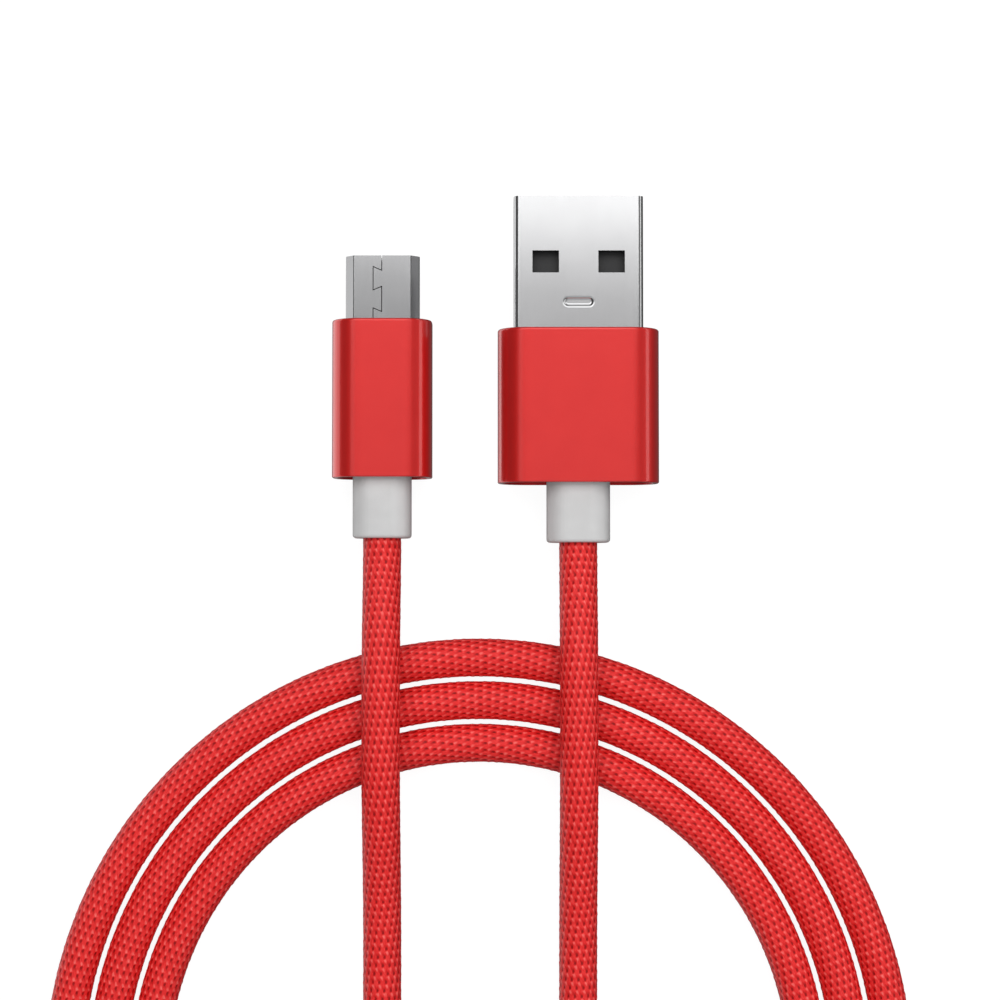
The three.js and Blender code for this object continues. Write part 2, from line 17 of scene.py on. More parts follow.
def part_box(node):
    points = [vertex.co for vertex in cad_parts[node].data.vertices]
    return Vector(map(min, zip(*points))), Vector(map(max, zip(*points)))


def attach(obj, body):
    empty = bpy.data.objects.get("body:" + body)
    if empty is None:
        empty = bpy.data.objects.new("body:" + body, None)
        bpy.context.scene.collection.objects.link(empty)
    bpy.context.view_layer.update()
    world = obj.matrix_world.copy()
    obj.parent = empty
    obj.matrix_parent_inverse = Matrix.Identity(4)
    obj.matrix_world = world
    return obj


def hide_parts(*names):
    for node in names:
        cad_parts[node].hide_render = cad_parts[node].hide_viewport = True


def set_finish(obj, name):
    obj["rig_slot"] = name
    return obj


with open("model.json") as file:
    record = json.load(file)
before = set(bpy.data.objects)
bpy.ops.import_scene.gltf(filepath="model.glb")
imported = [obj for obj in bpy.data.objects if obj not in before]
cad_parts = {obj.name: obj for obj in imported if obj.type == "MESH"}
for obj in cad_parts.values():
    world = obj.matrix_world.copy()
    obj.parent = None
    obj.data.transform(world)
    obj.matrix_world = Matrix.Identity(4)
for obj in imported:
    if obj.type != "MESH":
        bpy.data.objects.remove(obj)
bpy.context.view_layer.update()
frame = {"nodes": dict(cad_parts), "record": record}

MM = 0.001
BODY = "cable"

# --- Sizes and places from the frame --------------------------------------------------------


def cad_box_mm(node):
    low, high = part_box(node)
    return np.array(low) / MM, np.array(high) / MM


def plug_origin(shell):
    """The middle of a plug's tip."""
    low, high = cad_box_mm(shell)
    return np.array([(low[0] + high[0]) / 2, high[1], (low[2] + high[2]) / 2])


USB_A_ORIGIN = plug_origin("usb_a_shell")
MICRO_B_ORIGIN = plug_origin("micro_b_shell")

# --- The cord's route -----------------------------------------------------------------------

CORD_DIAMETER = 3.5
SOCKET_DEPTH = 2.4  # how far the cord goes into a strain relief

# The coil is a ring of turns side by side: half a circle at each end, joined by straight sides.
RING_RADIUS = 34.6
RING_STRAIGHT = 30.0
RING_PITCH = 3.98
COIL_STEP = 5.5  # between the points of the route round the coil

# The leads, in the coil's frame: x, y from the middle of the ring's far arc and z from the floor.
# The first goes from inside the USB-A strain relief, over the far side of the ring and round its
# inside, to the left side of the inner turn.
USB_A_LEAD = [
    (9.25, 51.4, 3.5),
    (9.25, 49.3, 3.5),
    (9.25, 45.4, 3.95),
    (9.25, 41.2, 5.0),
    (9.25, 37.0, 5.6),
    (9.25, 32.5, 5.65),
    (9.25, 28.0, 5.5),
    (9.25, 23.0, 4.6),
    (9.25, 17.5, 3.0),
    (9.25, 12.0, 1.95),
    (9.25, 6.0, 1.75),
    (9.25, -0.5, 1.75),
    (9.25, -7.0, 1.75),
    (9.25, -12.0, 1.75),
    (7.8, -19.7, 1.75),
    (3.5, -26.1, 1.75),
    (-3.0, -30.5, 1.75),
    (-10.65, -32.0, 1.75),
    (-18.3, -30.5, 1.75),
    (-24.8, -26.1, 1.75),
    (-29.1, -19.7, 1.75),
    (-30.62, -12.0, 1.75),
    (-30.62, -6.0, 1.75),
]

# The second leaves the right side of the outer turn, climbs over the ring and over the first lead,
# and comes back over the far side of the ring to the Micro-B strain relief.
MICRO_B_LEAD = [
    (38.58, -4.5, 2.0),
    (38.2, -10.0, 3.3),
    (36.8, -16.0, 5.0),
    (33.6, -22.3, 5.8),
    (28.6, -27.9, 5.8),
    (21.9, -32.0, 5.6),
    (14.2, -33.8, 5.4),
    (6.8, -32.9, 5.7),
    (0.2, -29.4, 5.8),
    (-4.9, -23.9, 5.1),
    (-8.0, -17.2, 3.3),
    (-9.0, -10.2, 2.0),
    (-9.0, -3.0, 1.75),
    (-9.0, 4.0, 1.75),
    (-9.0, 10.0, 1.8),
    (-9.0, 15.0, 2.2),
    (-9.0, 19.6, 3.3),
    (-9.0, 24.0, 4.6),
    (-9.0, 28.5, 5.5),
    (-9.0, 33.0, 5.65),
    (-9.0, 37.5, 5.6),
    (-9.0, 41.8, 4.9),
    (-9.0, 46.0, 3.8),
    (-9.0, 49.8, 3.4),
    (-9.0, 51.9, 3.4),
]

HALF_TURN = math.pi * RING_RADIUS
LAP = 2 * (HALF_TURN + RING_STRAIGHT)
CURVE_SAMPLES = 40000  # along the whole cord, for measuring along its curve


def smoothstep(value):
    value = np.clip(value, 0, 1)
    return value * value * (3 - 2 * value)


def on_ring(distance, offset):
    """The place at a distance clockwise from the ring's left side, offset out from the middle turn."""
    radius = RING_RADIUS + offset
    rest = distance % LAP
    if rest <= HALF_TURN:
        angle = math.pi - rest / RING_RADIUS
        return radius * math.cos(angle), radius * math.sin(angle)
    rest -= HALF_TURN
    if rest <= RING_STRAIGHT:
        return radius, -rest
    rest -= RING_STRAIGHT
    if rest <= HALF_TURN:
        angle = -rest / RING_RADIUS
        return radius * math.cos(angle), radius * math.sin(angle) - RING_STRAIGHT
    rest -= HALF_TURN
    return -radius, rest - RING_STRAIGHT


def turn_offset(distance):
    """Going round the near part of the ring, each turn moves out by one pitch."""
    near_part = LAP - HALF_TURN
    done = [smoothstep((distance - lap * LAP - HALF_TURN) / near_part) for lap in (0, 1)]
    return RING_PITCH * (sum(done) - 1)


def coil_points():
    length = 2 * LAP + HALF_TURN
    count = round(length / COIL_STEP)
    points = []
    for i in range(count + 1):
        distance = length * i / count
        x, y = on_ring(distance, turn_offset(distance))
        points.append((x, y, CORD_DIAMETER / 2))
    return points


def cord_route():
    """The whole cord's points, in the row frame."""
    relief_low, relief_high = cad_box_mm("usb_a_strain_relief")
    exit_x = (relief_low[0] + relief_high[0]) / 2
    ring_origin = np.array([exit_x - USB_A_LEAD[1][0], relief_low[1] - USB_A_LEAD[1][1], 0])
    return np.array(USB_A_LEAD + coil_points() + MICRO_B_LEAD) + ring_origin


def smooth_curve(points, shares):
    """The points at the given shares of the length of a natural cubic spline through the points."""
    knots = np.concatenate([[0], np.cumsum(np.linalg.norm(np.diff(points, axis=0), axis=1))])
    gaps = np.diff(knots)
    slopes = np.diff(points, axis=0) / gaps[:, None]
    system = np.eye(len(points))
    right_side = np.zeros_like(points)
    for i in range(1, len(points) - 1):
        system[i, i - 1 : i + 2] = gaps[i - 1], 2 * (gaps[i - 1] + gaps[i]), gaps[i]
        right_side[i] = 6 * (slopes[i] - slopes[i - 1])
    bends = np.linalg.solve(system, right_side)

    along = np.linspace(0, knots[-1], CURVE_SAMPLES)
    i = np.clip(np.searchsorted(knots, along, side="right") - 1, 0, len(gaps) - 1)
    after = (along - knots[i])[:, None]
    before = (knots[i + 1] - along)[:, None]
    gap = gaps[i][:, None]
    dense = (bends[i] * before**3 + bends[i + 1] * after**3) / (6 * gap)
    dense += (points[i] / gap - bends[i] * gap / 6) * before
    dense += (points[i + 1] / gap - bends[i + 1] * gap / 6) * after

    travelled = np.concatenate([[0], np.cumsum(np.linalg.norm(np.diff(dense, axis=0), axis=1))])
    places = np.asarray(shares) * travelled[-1]
    return np.stack([np.interp(places, travelled, dense[:, axis]) for axis in range(3)], axis=1)


def curve_length(points):
    return float(np.linalg.norm(np.diff(points, axis=0), axis=1).sum())


def frames_along(points):
    """Two directions across the curve at each point, carried along it without twisting."""
    tangents = np.gradient(points, axis=0)
    tangents /= np.linalg.norm(tangents, axis=1)[:, None]
    side = np.array([1.0, 0.0, 0.0])
    sides = np.empty_like(points)
    for i, tangent in enumerate(tangents):
        side = side - tangent * side.dot(tangent)
        side /= np.linalg.norm(side)
        sides[i] = side
    return sides, np.cross(tangents, sides)


# --- Meshes ---------------------------------------------------------------------------------


def new_piece(name, points, faces, replaces=(), slot=None):
    """A smooth mesh piece from points in millimetres, in the row frame, that rides on the cable."""
    mesh = bpy.data.meshes.new(name)
    mesh.from_pydata((np.asarray(points) * MM).tolist(), [], faces)
    piece = bpy.data.objects.new(name, mesh)
    bpy.context.scene.collection.objects.link(piece)
    mesh.polygons.foreach_set("use_smooth", [True] * len(mesh.polygons))
    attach(piece, BODY)
    if replaces:
        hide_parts(*replaces)
    if slot:
        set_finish(piece, slot)
    return piece


SHARP_ANGLE = 35  # in degrees, between faces: a sharper edge isn't shaded smooth
BEVEL_ANGLE = 40  # a sharper edge is bevelled


def finish_edges(piece, bevel=None):
    """Flat faces stay flat and rounded ones smooth; a bevel softens what is still sharp."""
    piece.data.set_sharp_from_angle(angle=math.radians(SHARP_ANGLE))
    if bevel:
        rounding = piece.modifiers.new("rounded_edges", "BEVEL")
        rounding.width = bevel * MM
        rounding.segments = 2
        rounding.limit_method = "ANGLE"
        rounding.angle_limit = math.radians(BEVEL_ANGLE)
        rounding.harden_normals = True


def rounded_polygon(corners, radius, steps=10):
    """The outline in XZ through the corners, taken anticlockwise, each rounded to the radius."""
    corners = [Vector(corner) for corner in corners]
    points = []
    for i, corner in enumerate(corners):
        to_before = (corners[i - 1] - corner).normalized()
        to_after = (corners[(i + 1) % len(corners)] - corner).normalized()
        half_angle = math.acos(to_before.dot(to_after)) / 2
        bisector = (to_before + to_after).normalized()
        centre = corner + bisector * radius / math.sin(half_angle)
        sweep = math.pi - 2 * half_angle
        first = math.atan2(-bisector.y, -bisector.x) - sweep / 2
        for step in range(steps + 1):
            angle = first + sweep * step / steps
            points.append((centre.x + radius * math.cos(angle), centre.y + radius * math.sin(angle)))
    return np.array(points)


def rounded_rectangle(width, height, radius):
    x, z = width / 2, height / 2
    return rounded_polygon([(-x, -z), (x, -z), (x, z), (-x, z)], radius)


def circle(radius):
    return rounded_rectangle(2 * radius, 2 * radius, radius)


RING_POINTS = 192  # in each ring of a loft


def even(outline):
    """A closed outline as RING_POINTS points an equal distance apart, from its right side round."""
    closed = np.vstack([outline, outline[:1]])
    travelled = np.concatenate([[0], np.cumsum(np.linalg.norm(np.diff(closed, axis=0), axis=1))])

    def at(places):
        places = places % travelled[-1]
        return np.stack([np.interp(places, travelled, closed[:, axis]) for axis in (0, 1)], axis=1)

    fine = np.linspace(0, travelled[-1], 4000)
    right_side = np.where(at(fine)[:, 0] > 0, np.abs(at(fine)[:, 1]), np.inf)
    start = fine[right_side.argmin()]
    return at(start + np.linspace(0, travelled[-1], RING_POINTS, endpoint=False))


def loft(name, origin, sections, replaces, slot):
    """A closed piece through rings about an axis along Y. Each section is an outline and its y, and
    the last ring joins the first."""
    rings = []
    for outline, y in sections:
        across = even(outline)
        rings.append(np.stack([across[:, 0], np.full(RING_POINTS, y), across[:, 1]], axis=1) + origin)
    faces = []
    for ring in range(len(rings)):
        after = (ring + 1) % len(rings)
        for i in range(RING_POINTS):
            beside = (i + 1) % RING_POINTS
            corners = [(ring, i), (ring, beside), (after, beside), (after, i)]
            faces.append([place * RING_POINTS + point for place, point in corners])
    piece = new_piece(name, np.concatenate(rings), faces, replaces, slot)
    shape = bmesh.new()
    shape.from_mesh(piece.data)
    bmesh.ops.recalc_face_normals(shape, faces=shape.faces)
    shape.to_mesh(piece.data)
    shape.free()
    finish_edges(piece)
    return piece


HOLD = 0.04  # beside a curve, a ring this far along keeps the flat next to it flat


def rounded_rim(outline_inset_by, radius, y, facing, steps=4):
    """Sections round a rim, from its end face at y to its side. facing is 1 for a front rim."""
    sections = [(outline_inset_by(radius + HOLD), y)]
    for step in range(steps + 1):
        angle = math.pi / 2 * step / steps
        inset = radius * (1 - math.sin(angle))
        sections.append((outline_inset_by(inset), y - facing * radius * (1 - math.cos(angle))))
    sections.append((outline_inset_by(0), y - facing * (radius + HOLD)))
    return sections


# --- The braided cord -----------------------------------------------------------------------

COLUMNS = 17  # of stitches round the cord
ROW = 0.785  # between one row of pits and the next, along the cord
LEAN = 0.26  # how far each row is turned from the one before, as a share of a column
COLUMN_SAMPLES = (0.0, 0.17, 0.45, 0.75)  # where the mesh crosses a column
ROW_SAMPLES = (0.0, 0.16, 0.36, 0.68)
COVER_TOP = 0.02  # how far the cover's even surface stands past the cord's nominal radius
TURNS_ROUND = 0.86  # of the way along, near the start of the Micro-B lead, the cells turn round

# In each cell of the cover, one column wide and one row long, a yarn comes up out of a pit at the
# corner, stands highest a little way on, and goes back down along a groove to the opposite corner.
# The same features also set the cover's colour: painted shade in the pit, its tail and the groove, and a
# painted highlight on the crown.
PIT = {"at": (0.0, 0.0), "size": (0.26, 0.3), "height": -0.08}
TAIL = {"at": (0.0, -0.25), "size": (0.24, 0.5), "height": -0.04}
CROWN = {"at": (0.17, 0.36), "size": (0.3, 0.4), "height": 0.03}
GROOVE = {"at": (0.8, 0.7), "size": (0.26, 0.45), "height": -0.04}


def from_nearest(value):
    """How far the value is from the nearest whole number, with its sign."""
    return value - np.round(value)


def cover_height(s, t):
    """The relief at a place in the cover: s counts columns and t counts rows."""
    height = 0
    for feature in (PIT, TAIL, CROWN, GROOVE):
        across = from_nearest(s - feature["at"][0]) / feature["size"][0]
        along = from_nearest(t - feature["at"][1]) / feature["size"][1]
        height = height + feature["height"] * smoothstep(1 - np.hypot(across, along))
    return height


def samples_over(cells, samples):
    """The samples of one cell, repeated over a number of cells, and the last cell's end."""
    places = np.arange(cells)[:, None] + np.array(samples)
    return np.append(places.ravel(), cells)


def braided_cord():
    route = cord_route()
    length = curve_length(smooth_curve(route, np.linspace(0, 1, CURVE_SAMPLES)))
    rows = round(length / ROW)
    t = samples_over(rows, ROW_SAMPLES)
    s = samples_over(COLUMNS, COLUMN_SAMPLES)
    line = smooth_curve(route, t / rows)
    sides, ups = frames_along(line)
    rings, around = len(t) - 1, len(s) - 1

    # On both leads the yarns come up facing away from the plug, so the cells turn round once.
    facing = np.where(np.arange(rings) < TURNS_ROUND * rings, 1, -1)
    ring_facing = np.append(facing, -1)[:, None]
    height = cover_height(s[None, :-1] * ring_facing, t[:, None] * ring_facing)
    radius = (CORD_DIAMETER / 2 + COVER_TOP + height)[..., None]
    angle = (2 * math.pi * (LEAN * t[:, None] - s[None, :-1]) / COLUMNS)[..., None]
    outward = np.cos(angle) * sides[:, None] + np.sin(angle) * ups[:, None]
    points = (line[:, None] + radius * outward).reshape(-1, 3)

    ring, place = np.meshgrid(np.arange(rings), np.arange(around), indexing="ij")
    beside = (place + 1) % around
    here, after = ring * around, (ring + 1) * around
    cells = np.stack([here + place, after + place, after + beside, here + beside], axis=-1)
    faces = cells.reshape(-1, 4).tolist()
    faces.append(list(range(around)))
    faces.append([rings * around + place for place in reversed(range(around))])
    cord = new_piece(
        "braided_cord",
        points,
        faces,
        replaces=("cord_lead_usb_a", "cord_coil", "cord_lead_micro_b"),
        slot="red_braid",
    )

    # The cover's own coordinates, for its material: s and t at each corner of each cell.
    corners = [(place, ring), (place, ring + 1), (place + 1, ring + 1), (place + 1, ring)]
    weave = np.stack([np.stack([s[i], t[k]], axis=-1) for i, k in corners], axis=2)
    weave = (weave * facing[:, None, None, None]).reshape(-1, 2)
    weave = np.vstack([weave, np.zeros((2 * around, 2))])
    cord.data.uv_layers.new(name="weave").data.foreach_set("uv", weave.ravel().astype(np.float32))

    return cord


# --- Housings and strain reliefs ------------------------------------------------------------

HOUSING_CORNER = {"usb_a": 2.9, "micro_b": 2.7}
HOUSING_WALL = {"usb_a": 0.6, "micro_b": 0.55}
FRONT_WALL = 0.8
FRONT_RIM = 0.22
REAR_RIM = 0.12
HOLE_GAP = 0.15  # between a shell and the housing's hole for it

RELIEF_NECK = {"usb_a": (5.9, 4.9, 1.9), "micro_b": (5.45, 4.7, 1.85)}
FLANGE_WIDTH = {"usb_a": 8.0, "micro_b": 7.0}
FLANGE_FRONT = 0.5  # behind the relief's front end
FLANGE_LENGTH = {"usb_a": 1.4, "micro_b": 1.2}
RELIEF_RIM = 0.3
BORE_RADIUS = 1.55
SOCKET_RADIUS = 1.87
SMALL_CHAMFER = 0.08

USB_A_SHELL = {"width": 12.0, "height": 4.5, "corner": 0.6, "sheet": 0.3}
MICRO_B_SHELL = {"wide": 6.9, "narrow": 5.3, "height": 1.8, "corner": 0.25}


def usb_a_outline(grow):
    shell = USB_A_SHELL
    return rounded_rectangle(
        shell["width"] + 2 * grow, shell["height"] + 2 * grow, shell["corner"] + grow
    )


def micro_b_outline(grow):
    """Wide at the bottom, and narrower above its chamfers."""
    shell = MICRO_B_SHELL
    top = shell["height"] / 2
    chamfer = (shell["wide"] - shell["narrow"]) / 2
    slope = math.hypot(chamfer, top)
    x = shell["wide"] / 2 + grow
    middle_z = grow * (slope - top) / chamfer
    upper_x = shell["narrow"] / 2 + grow * (slope - chamfer) / top
    corners = [
        (-x, -top - grow),
        (x, -top - grow),
        (x, middle_z),
        (upper_x, top + grow),
        (-upper_x, top + grow),
        (-x, middle_z),
    ]
    return rounded_polygon(corners, shell["corner"] + grow)


SHELL_OUTLINE = {"usb_a": usb_a_outline, "micro_b": micro_b_outline}
PLUG_ORIGIN = {"usb_a": USB_A_ORIGIN, "micro_b": MICRO_B_ORIGIN}


def housing(plug):
    """A sleeve with rounded rims, open at the rear, with a hole in its front wall for the shell."""
    origin = PLUG_ORIGIN[plug]
    node = f"{plug}_housing"
    low, high = cad_box_mm(node)
    width, length, height = high - low
    front, rear = high[1] - origin[1], low[1] - origin[1]
    corner, wall = HOUSING_CORNER[plug], HOUSING_WALL[plug]
    hole = SHELL_OUTLINE[plug]

    def outside(inset):
        return rounded_rectangle(width - 2 * inset, height - 2 * inset, corner - inset)

    sections = [
        (hole(HOLE_GAP), front - FRONT_WALL),
        (hole(HOLE_GAP), front - SMALL_CHAMFER),
        (hole(HOLE_GAP + SMALL_CHAMFER), front),
        *rounded_rim(outside, FRONT_RIM, front, 1),
        *reversed(rounded_rim(outside, REAR_RIM, rear, -1)),
        (outside(wall - SMALL_CHAMFER), rear),
        (outside(wall), rear + SMALL_CHAMFER),
        (outside(wall), front - FRONT_WALL),
    ]
    return loft(f"{plug}_anodised_housing", origin, sections, (node,), "red_aluminium")


def strain_relief(plug):
    """A moulded neck with a flange that the housing holds and a socket for the cord."""
    origin = PLUG_ORIGIN[plug]
    node = f"{plug}_strain_relief"
    low, high = cad_box_mm(node)
    front, rear = high[1] - origin[1], low[1] - origin[1]
    width, height, corner = RELIEF_NECK[plug]
    flange_front = front - FLANGE_FRONT
    flange_rear = flange_front - FLANGE_LENGTH[plug]
    flange = rounded_rectangle(FLANGE_WIDTH[plug], height, corner)

    def neck(inset=0.0):
        return rounded_rectangle(width - 2 * inset, height - 2 * inset, corner - inset)

    sections = [
        (circle(BORE_RADIUS), front),
        (neck(), front),
        (neck(), flange_front),
        (flange, flange_front),
        (flange, flange_rear),
        (neck(), flange_rear),
        *reversed(rounded_rim(neck, RELIEF_RIM, rear, -1)),
        (circle(SOCKET_RADIUS + SMALL_CHAMFER), rear),
        (circle(SOCKET_RADIUS), rear + SMALL_CHAMFER),
        (circle(SOCKET_RADIUS), rear + SOCKET_DEPTH),
        (circle(BORE_RADIUS), rear + SOCKET_DEPTH),
    ]
    return loft(f"{plug}_moulded_relief", origin, sections, (node,), "grey_plastic")


# --- The USB-A shell ------------------------------------------------------------------------

WINDOW = {"width": 2.45, "length": 2.05, "x": 3.05, "y": -6.12}
STAMP = {"width": 2.85, "height": 0.95, "y": -9.85, "slope": 0.26, "depth": 0.16}
STAMP_GRID = 0.07  # between mesh lines round the stamp
STAMP_MARGIN = 0.35
SHELL_SEAM = 0.1
SHELL_EDGE = 0.06  # the rounding of its cut edges


def lines_between(first, last, marks, fine_half_width, fine_middle=0.0):
    """Mesh lines from first to last through the marks, close together round the stamp."""
    count = round(2 * fine_half_width / STAMP_GRID)
    fine = fine_middle + np.linspace(-fine_half_width, fine_half_width, count + 1)
    return sorted({round(float(value), 6) for value in [first, last, *marks, *fine]})


def stamp_drop(x, y):
    """How far the face is pressed in: nothing outside the oblong, all of the depth inside it."""
    radius = STAMP["height"] / 2
    reach = STAMP["width"] / 2 - radius
    from_middle = math.hypot(max(abs(x) - reach, 0), y - STAMP["y"])
    return STAMP["depth"] * float(smoothstep((radius - from_middle) / STAMP["slope"]))


def usb_a_shell():
    """One folded sheet: its edges meet along the underside, and it has two windows in each wide face."""
    shell, window = USB_A_SHELL, WINDOW
    half_width, half_height, corner = shell["width"] / 2, shell["height"] / 2, shell["corner"]
    flat_x, flat_z = half_width - corner, half_height - corner
    ends = (-1, 1)
    window_sides = [side * window["x"] + end * window["width"] / 2 for side in ends for end in ends]
    window_ends = [window["y"] + end * window["length"] / 2 for end in ends]
    stamp_half_width = STAMP["width"] / 2 + STAMP_MARGIN
    stamp_half_height = STAMP["height"] / 2 + STAMP_MARGIN
    low, high = cad_box_mm("usb_a_shell")
    ys = lines_between(low[1] - high[1], 0, window_ends, stamp_half_height, STAMP["y"])
    beside_bends = [HOLD - flat_x, flat_x - HOLD]
    xs = lines_between(-flat_x, flat_x, window_sides + beside_bends, stamp_half_width)

    def bend(centre_x, centre_z, start, steps=6):
        angles = [math.radians(start + 90 * step / steps) for step in range(1, steps)]
        return [(centre_x + corner * math.cos(a), centre_z + corner * math.sin(a)) for a in angles]

    bottom = [x for x in xs if x > SHELL_SEAM]
    across = [(SHELL_SEAM / 2, -half_height)]
    across += [(x, -half_height) for x in bottom]
    across += bend(flat_x, -flat_z, 270)
    across += [(half_width, -flat_z), (half_width, flat_z)]
    across += bend(flat_x, flat_z, 0)
    across += [(x, half_height) for x in reversed(xs)]
    across += bend(-flat_x, flat_z, 90)
    across += [(-half_width, flat_z), (-half_width, -flat_z)]
    across += bend(-flat_x, -flat_z, 180)
    across += [(-x, -half_height) for x in reversed(bottom)]
    across += [(-SHELL_SEAM / 2, -half_height)]

    points = []
    for y in ys:
        for x, z in across:
            on_top = z == half_height
            points.append(Vector((x, y, z - stamp_drop(x, y) * on_top)) + Vector(USB_A_ORIGIN))

    def in_window(row, column):
        (x0, z0), (x1, z1) = across[column], across[column + 1]
        x, y = (x0 + x1) / 2, (ys[row] + ys[row + 1]) / 2
        return (
            z0 == z1
            and abs(abs(x) - window["x"]) < window["width"] / 2
            and abs(y - window["y"]) < window["length"] / 2
        )

    faces = []
    for row in range(len(ys) - 1):
        for column in range(len(across) - 1):
            if not in_window(row, column):
                first = row * len(across) + column
                faces.append((first, first + len(across), first + len(across) + 1, first + 1))
    piece = new_piece("usb_a_plated_shell", points, faces, ("usb_a_shell",), "nickel_shell")
    sheet = piece.modifiers.new("sheet", "SOLIDIFY")
    sheet.thickness = shell["sheet"] * MM
    sheet.offset = -1
    sheet.use_even_offset = True
    finish_edges(piece, SHELL_EDGE)
    return piece


# --- Materials ------------------------------------------------------------------------------


class Material:
    """A Principled material whose node tree is built one call at a time."""

    def __init__(self, name, colour=(0.8, 0.8, 0.8), **constants):
        self.material = bpy.data.materials.new(name)
        self.material.use_nodes = True
        self.tree = self.material.node_tree
        self.shader = self.tree.nodes["Principled BSDF"]
        self.shader.inputs["Base Color"].default_value = (*colour, 1)
        for socket, value in constants.items():
            self.shader.inputs[socket.replace("_", " ")].default_value = value

    def node(self, kind, inputs=None, **settings):
        """Adds a node with its settings, and its inputs given as values or linked outputs."""
        node = self.tree.nodes.new(f"ShaderNode{kind}")
        for key, value in settings.items():
            setattr(node, key, value)
        for socket, value in (inputs or {}).items():
            if isinstance(value, bpy.types.NodeSocket):
                self.tree.links.new(value, node.inputs[socket])
            else:
                node.inputs[socket].default_value = value
        return node

    def math(self, operation, *values, clamp=False):
        inputs = dict(enumerate(values))
        return self.node("Math", inputs, operation=operation, use_clamp=clamp).outputs[0]

    def link(self, output, socket):
        self.tree.links.new(output, self.shader.inputs[socket])

    def place(self, per_mm=(1, 1, 1)):
        """Object coordinates, in steps per millimetre along each axis."""
        coordinates = self.node("TexCoord").outputs["Object"]
        scale = [steps / MM for steps in per_mm]
        return self.node("Mapping", {"Vector": coordinates, "Scale": scale}).outputs[0]

    def nearest(self, value):
        """How far a value is from the nearest whole number, with its sign."""
        return self.math("SUBTRACT", value, self.math("ROUND", value))

    def noise(self, vector, scale=1.0, detail=3.0, roughness=0.5):
        inputs = {"Vector": vector, "Scale": scale, "Detail": detail, "Roughness": roughness}
        return self.node("TexNoise", inputs).outputs["Fac"]

    def ramp(self, value, *stops):
        """A colour ramp through (position, colour) stops."""
        node = self.node("ValToRGB", {"Fac": value})
        elements = node.color_ramp.elements
        while len(elements) < len(stops):
            elements.new(0.5)
        for element, (position, colour) in zip(elements, stops):
            element.position = position
            element.color = (*colour, 1)
        return node.outputs["Color"]

    def spread(self, value, low, high):
        """Maps a value from 0 to 1 onto low to high."""
        inputs = {"Value": value, "To Min": low, "To Max": high}
        return self.node("MapRange", inputs).outputs["Result"]

    def bump(self, height, distance_mm, strength=1.0):
        inputs = {"Height": height, "Distance": distance_mm * MM, "Strength": strength}
        self.link(self.node("Bump", inputs).outputs[0], "Normal")


def paint(piece, material):
    piece.data.materials.clear()
    piece.data.materials.append(material)


def braid_material():
    made = Material("red_braid", Specular_IOR_Level=0.25)
    weave = made.node("UVMap", uv_map="weave").outputs[0]
    split = made.node("SeparateXYZ", {"Vector": weave})
    s, t = split.outputs["X"], split.outputs["Y"]

    # Filaments run along each yarn, half a column across for each row.
    across = made.math("SUBTRACT", s, made.math("MULTIPLY", t, 0.5))
    stripes = made.node("CombineXYZ", {"X": made.math("MULTIPLY", across, 8.0), "Y": t}).outputs[0]
    filaments = made.noise(stripes, scale=1.3, detail=3.0, roughness=0.6)
    patches = made.noise(made.node("CombineXYZ", {"X": s, "Y": t}).outputs[0], scale=0.9, detail=1.0)

    def spot(feature, slant=0.0):
        """1 at the feature's middle in every cell, falling to 0 at its edge."""
        along = made.nearest(made.math("SUBTRACT", t, feature["at"][1]))
        aside = made.math("SUBTRACT", s, feature["at"][0])
        aside = made.nearest(made.math("SUBTRACT", aside, made.math("MULTIPLY", along, slant)))
        x = made.math("DIVIDE", aside, feature["size"][0])
        y = made.math("DIVIDE", along, feature["size"][1])
        offset = made.node("CombineXYZ", {"X": x, "Y": y}).outputs[0]
        distance = made.node("VectorMath", {0: offset}, operation="LENGTH").outputs["Value"]
        return made.math("SUBTRACT", 1.0, distance, clamp=True)

    tone = made.spread(filaments, 0.2, 0.95)
    # Painted shade darkens the pits, their tails and the grooves, and a painted highlight lightens each
    # yarn's crown; the filaments and patches are the yarn's own tone.
    painted_shade_and_highlight = ((PIT, 0.0, -0.55), (TAIL, 0.0, -0.3), (GROOVE, 0.7, -0.35), (CROWN, 0.6, 0.4))
    for feature, slant, weight in painted_shade_and_highlight:
        tone = made.math("MULTIPLY_ADD", spot(feature, slant), weight, tone)
    tone = made.math("ADD", tone, made.spread(patches, -0.12, 0.12), clamp=True)
    # The ramp's dark end is the painted shade in the pits, its middle the yarn's own red, and its pale
    # pink end the painted highlight on the crowns.
    colour = made.ramp(
        tone,
        (0.0, (0.30, 0.001, 0.001)),
        (0.3, (0.60, 0.008, 0.008)),
        (0.6, (0.84, 0.022, 0.022)),
        (1.0, (0.97, 0.17, 0.15)),
    )
    made.link(colour, "Base Color")
    made.link(made.spread(filaments, 0.35, 0.6), "Roughness")
    made.bump(filaments, 0.03)
    return made.material


def nickel_material(name="nickel_shell", tint=(0.44, 0.44, 0.445)):
    made = Material(name, Metallic=1.0)
    rolled = made.noise(made.place((9, 0.4, 9)), detail=4.0)
    cloudy = made.noise(made.place((0.25, 0.25, 0.25)), detail=2.0)
    darker = tuple(0.95 * value for value in tint)
    made.link(made.ramp(cloudy, (0.3, darker), (0.7, tint)), "Base Color")
    made.link(made.spread(rolled, 0.12, 0.17), "Roughness")
    made.bump(rolled, 0.0015)
    return made.material


def anodised_material():
    coat = {"Coat_Weight": 0.9, "Coat_Roughness": 0.12}
    made = Material("red_aluminium", Metallic=0.5, Specular_IOR_Level=0.2, **coat)
    blasted = made.noise(made.place((14, 14, 14)), detail=4.0)
    cloudy = made.noise(made.place((0.3, 0.3, 0.3)), detail=2.0)
    colour = made.ramp(cloudy, (0.2, (0.60, 0.009, 0.008)), (0.8, (0.63, 0.012, 0.010)))
    made.link(colour, "Base Color")
    made.link(made.spread(blasted, 0.34, 0.44), "Roughness")
    made.bump(blasted, 0.004)
    return made.material


